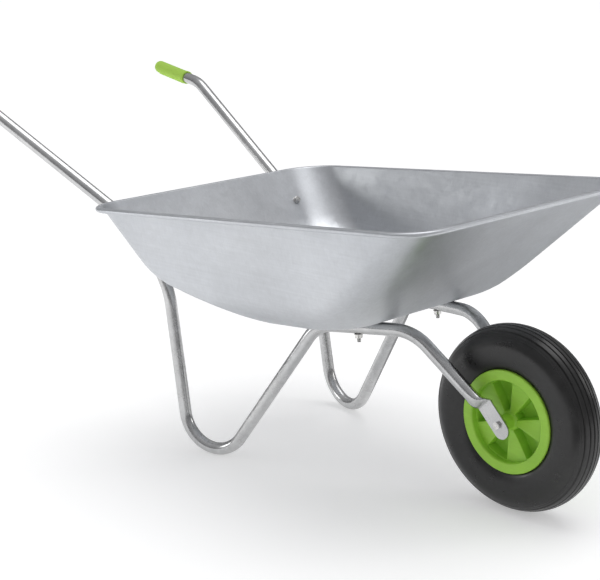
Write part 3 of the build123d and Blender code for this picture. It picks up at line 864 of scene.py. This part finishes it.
# ---------- wheel ----------
def tyre_outline():
    """Tyre section: beads, rounded sidewalls, shoulder lines and ribbed tread."""
    r0, w, h = TYRE_CENTRE_R, TYRE_HALF_W, TYRE_HALF_H

    def crown(y):
        return r0 + h * math.sqrt(1 - (y / w) ** 2)

    half = [(0.0892, 0.0190), (0.0892, 0.0264), (0.0972, 0.0314), (0.0981, 0.0322), (0.1004, 0.0337),
            (0.1045, 0.0353), (0.1090, 0.0367), (0.1145, 0.0380), (0.1205, 0.0391), (0.1265, 0.0399)]
    for k in range(9):
        turn = math.radians(-6 + 54 * k / 8)
        half.append((r0 + h * math.sin(turn), w * math.cos(turn)))
    for y in (0.0322, 0.0300):
        r = crown(y)
        half += [(r - 0.0001, y + 0.0006), (r - 0.0008, y + 0.0002), (r - 0.0001, y - 0.0003)]
    for g in GROOVES:
        r = crown(g)
        half += [(crown(g + 0.0016), g + 0.0016), (r - 0.0006, g + 0.0009), (r - 0.0023, g + 0.0006),
                 (r - 0.0023, g - 0.0006), (r - 0.0005, g - 0.0009), (crown(g - 0.0016), g - 0.0016)]
    half += [(crown(0.0030), 0.0030), (crown(0.0016), 0.0016), (crown(0) - 0.0006, 0.0009),
             (crown(0) - 0.0023, 0.0006)]
    inside = [(0.0930, 0.0180), (0.1000, 0.0250), (0.1120, 0.0330), (0.1290, 0.0368), (0.1450, 0.0330),
              (0.1580, 0.0230), (0.1650, 0.0100)]
    return half + [(r, -y) for r, y in reversed(half)] + [(r, -y) for r, y in inside] + \
        [(r, y) for r, y in reversed(inside)]


def mould_tyre(material):
    tyre = turned("tyre_carcass", tyre_outline(), 120)
    smooth(tyre, 34)
    hand_over(tyre, "wheel", material, ["tyre"])


def mould_rim(material):
    """Rim ring, then the fan disc with pockets between its spokes, then the hub."""
    half = rounded([(0.0760, 0.0200), (0.0768, 0.0370), (0.0970, 0.0370), (0.0970, 0.0318), (0.0888, 0.0268),
                    (0.0888, 0.0200), (0.0810, 0.0140)], (0.0035, 0.0050, 0.0010, 0.0015, 0.0020), 4)
    half = [(p.x, p.y) for p in half]
    ring = turned("rim_ring", half + [(r, -y) for r, y in reversed(half)], 120)
    hub = rounded([(0.0096, HUB_HALF), (HUB_R, HUB_HALF), (HUB_R + 0.0003, 0.0290), (0.0190, 0.0235),
                   (0.0190, 0.0050)], (0.0020, 0.0080, 0.0020), 4)
    hub = [(p.x, p.y) for p in hub]
    barrel = turned("rim_hub", hub + [(r, -y) for r, y in reversed(hub)], 60)
    fan = mould_fan()
    wheel = weld([ring, fan, barrel], "spoked_rim")
    smooth(wheel, 40)
    hand_over(wheel, "wheel", material, ["wheel_rim"])


def mould_fan():
    """Both faces of the disc, pockets sunk between five fan spokes."""
    faces = []
    for hand in (-1, 1):
        clear()
        bpy.ops.mesh.primitive_circle_add(vertices=60, radius=0.0780, location=(0, 0, 0))
        fan = settle(f"fan_{hand}")
        r, z = 0.0780, 0.0
        for new, level in ((0.0752, 0.0), (0.0600, 0.0), (0.0400, 0.0), (0.0260, 0.0006), (0.0162, 0.0016),
                           (0.0130, 0.0018)):
            draw_on((0, 0, level - z))
            scale_by((new / r, new / r, 1), (0, 0, level))
            r, z = new, level
        turn = FAN_TURN * (1 if hand < 0 else -1)

        def in_window(c):
            angle = math.degrees(math.atan2(c.y, c.x)) % 72
            return 18 < angle < 54 and 0.0155 < c.xy.length < 0.0752

        pick_faces(lambda c, n: in_window(c))
        draw_on((0, 0, -(DISC_FACE - WEB_HALF)))
        bpy.ops.mesh.select_mode(type="FACE")
        true_up()
        floor_z = -(DISC_FACE - WEB_HALF)

        def lip(c, e):
            faces_here = [f.calc_center_median().z for f in e.link_faces]
            flat = abs(e.verts[0].co.z - e.verts[1].co.z) < 0.0015
            return flat and c.z > -0.001 and len(faces_here) == 2 and min(faces_here) < -0.005

        pick_edges(lip)
        bpy.ops.mesh.bevel(offset=0.0012, segments=2, affect="EDGES")
        pick_edges(lambda c, e: len(e.link_faces) == 2 and c.z < floor_z + 0.001
                   and max(f.calc_center_median().z for f in e.link_faces) > floor_z + 0.005)
        bpy.ops.mesh.bevel(offset=0.0020, segments=2, affect="EDGES")
        clear()
        spin = Matrix.Rotation(turn, 4, "Z")
        if hand < 0:
            place = Matrix.Rotation(math.pi / 2, 4, "X")
        else:
            place = Matrix.Rotation(-math.pi / 2, 4, "X")
        out = Matrix.Translation(AXLE + Vector((0, hand * DISC_FACE, 0)))
        put(fan, out @ place @ spin)
        faces.append(fan)
    return weld(faces, "fan_disc")


# ---------- carried-over turned parts ----------
def dress(node, material):
    """Give a kept CAD part its finish."""
    kept = frame["nodes"][node]
    kept.data.materials.clear()
    kept.data.materials.append(material)


# ---------- studio ----------
def studio():
    """Pale floor, soft lights and a white room that turns dark low down in reflections."""
    clear()
    bpy.ops.mesh.primitive_plane_add(size=60, location=(0, 0, -0.0004))
    floor = bpy.context.object
    floor.name = "studio_floor"
    f = Finish("studio_floor")
    f.join(f.tint(f.noise(0.6, 2), ((0.3, (0.80, 0.80, 0.80)), (0.7, (0.815, 0.815, 0.815)))),
           f.shader.inputs["Base Color"])
    f.set(Roughness=0.9, Emission_Strength=0.38)
    f.shader.inputs["Emission Color"].default_value = (1, 1, 1, 1)
    f.shader.inputs["Specular IOR Level"].default_value = 0.1
    floor.data.materials.append(f.made)

    def shade_card(name, low, high, grey):
        """Dark card near the floor, seen only in the gloss of the metal: painted shade standing in for the shaded
        floor in reflections.
        """
        clear()
        middle = ((low[0] + high[0]) / 2, (low[1] + high[1]) / 2, 0.004)
        bpy.ops.mesh.primitive_plane_add(size=1, location=middle)
        made = bpy.context.object
        made.name = name
        made.scale = (high[0] - low[0], high[1] - low[1], 1)
        bpy.ops.object.transform_apply(location=True, rotation=True, scale=True)
        f = Finish(name)
        f.join(f.tint(f.noise(3, 2), ((0.3, (grey, grey, grey)), (0.7, (grey * 1.1,) * 3))),
               f.shader.inputs["Base Color"])
        f.set(Roughness=1.0)
        made.data.materials.append(f.made)
        made.visible_camera = False
        made.visible_diffuse = False
        made.visible_shadow = False

    # Painted shade: dark cards where the floor lies in shade in front of and under the barrow, seen only in
    # reflections.
    shade_card("front_shade_card", (0.80, -1.60), (2.2, -0.42), 0.10)
    shade_card("back_shade_card", (-0.25, 0.25), (0.75, 1.3), 0.52)

    world = bpy.data.worlds.new("white_room")
    bpy.context.scene.world = world
    world.use_nodes = True
    tree = world.node_tree
    tree.nodes.clear()
    coords = tree.nodes.new("ShaderNodeTexCoord")
    split = tree.nodes.new("ShaderNodeSeparateXYZ")
    ramp = tree.nodes.new("ShaderNodeValToRGB")
    stops = ((0.0, 0.30), (0.50, 0.22), (0.56, 0.20), (0.66, 0.34), (0.80, 0.44), (1.0, 0.62))
    while len(ramp.color_ramp.elements) < len(stops):
        ramp.color_ramp.elements.new(0.5)
    for element, (at, grey) in zip(ramp.color_ramp.elements, stops):
        element.position = at
        element.color = (grey, grey, grey * 1.02, 1)
    half = tree.nodes.new("ShaderNodeMapRange")
    half.inputs["From Min"].default_value = -1
    room = tree.nodes.new("ShaderNodeBackground")
    room.inputs["Strength"].default_value = 0.95
    white = tree.nodes.new("ShaderNodeBackground")
    white.inputs["Color"].default_value = (1, 1, 1, 1)
    white.inputs["Strength"].default_value = 1.0
    rays = tree.nodes.new("ShaderNodeLightPath")
    mix = tree.nodes.new("ShaderNodeMixShader")
    out = tree.nodes.new("ShaderNodeOutputWorld")
    for a, b in ((coords.outputs["Generated"], split.inputs[0]), (split.outputs["Z"], half.inputs["Value"]),
                 (half.outputs["Result"], ramp.inputs["Fac"]), (ramp.outputs["Color"], room.inputs["Color"]),
                 (rays.outputs["Is Camera Ray"], mix.inputs["Fac"]), (room.outputs[0], mix.inputs[1]),
                 (white.outputs[0], mix.inputs[2]), (mix.outputs[0], out.inputs["Surface"])):
        tree.links.new(a, b)

    def lamp(name, kind, at, aim, power, size, tone=(1, 1, 1)):
        data = bpy.data.lights.new(name, kind)
        data.energy = power
        data.color = tone
        if kind == "AREA":
            data.shape = "RECTANGLE"
            data.size, data.size_y = size
        else:
            data.angle = size
        made = bpy.data.objects.new(name, data)
        bpy.context.scene.collection.objects.link(made)
        made.location = at
        made.rotation_euler = (Vector(aim) - Vector(at)).to_track_quat("-Z", "Y").to_euler()

    lamp("overhead", "SUN", (0, 1.0, 5), (0.1, 0, 0), 1.15, math.radians(50))
    lamp("left_box", "AREA", (-2.4, -2.2, 0.85), (0.1, 0, 0.2), 9, (0.9, 0.7))
    lamp("right_box", "AREA", (2.2, 2.2, 1.4), (0.4, 0, 0.2), 8, (0.6, 1.2), (1.0, 0.99, 0.97))


def camera():
    data = bpy.data.cameras.new("camera")
    data.lens = 94.03
    data.sensor_width = 36
    data.shift_x = 0.0107
    made = bpy.data.objects.new("camera", data)
    bpy.context.scene.collection.objects.link(made)
    az, el, roll = math.radians(45.437), math.radians(14.659), math.radians(-0.58)
    back = Vector((math.sin(az) * math.cos(el), -math.cos(az) * math.cos(el), math.sin(el)))
    right = Vector((math.cos(az), math.sin(az), 0))
    up = back.cross(right)
    x = right * math.cos(roll) + up * math.sin(roll)
    y = up * math.cos(roll) - right * math.sin(roll)
    turn = Matrix((x, y, back)).transposed().to_4x4()
    made.matrix_world = Matrix.Translation(AXLE + Vector((1.6348, -2.1775, 0.9478))) @ turn
    bpy.context.scene.camera = made


# ---------- put together ----------
clear()
bpy.context.scene.view_settings.view_transform = "Standard"
fastener = zinc_fastener()
finish_tray(galvanised_sheet())
make_frames(zinc_tube())
for hand, side in ((1, "left"), (-1, "right")):
    mould_grip(hand, side, bpy.data.materials.get("green_grip") or green_grip())
tray_fasteners(fastener)
axle_fasteners(fastener)
rubber = tyre_rubber()
mould_tyre(rubber)
mould_rim(green_moulding())

nylon = plain_moulding("bush_nylon", (0.72, 0.72, 0.68), (0.80, 0.80, 0.77), 0.45).made
for side in ("left", "right"):
    dress(f"hub_bush_{side}", nylon)
    dress(f"axle_spacer_{side}", fastener)
brass = plain_moulding("valve_brass", (0.50, 0.36, 0.14), (0.62, 0.46, 0.20), 0.32)
brass.set(Metallic=1.0)
dress("valve_stem", brass.made)
dress("valve_cap", plain_moulding("black_plastic", (0.018, 0.018, 0.018), (0.03, 0.03, 0.03), 0.45).made)
dress("inner_tube", plain_moulding("tube_rubber", (0.016, 0.016, 0.016), (0.028, 0.028, 0.028), 0.6).made)

studio()
camera()
bpy.context.view_layer.update()
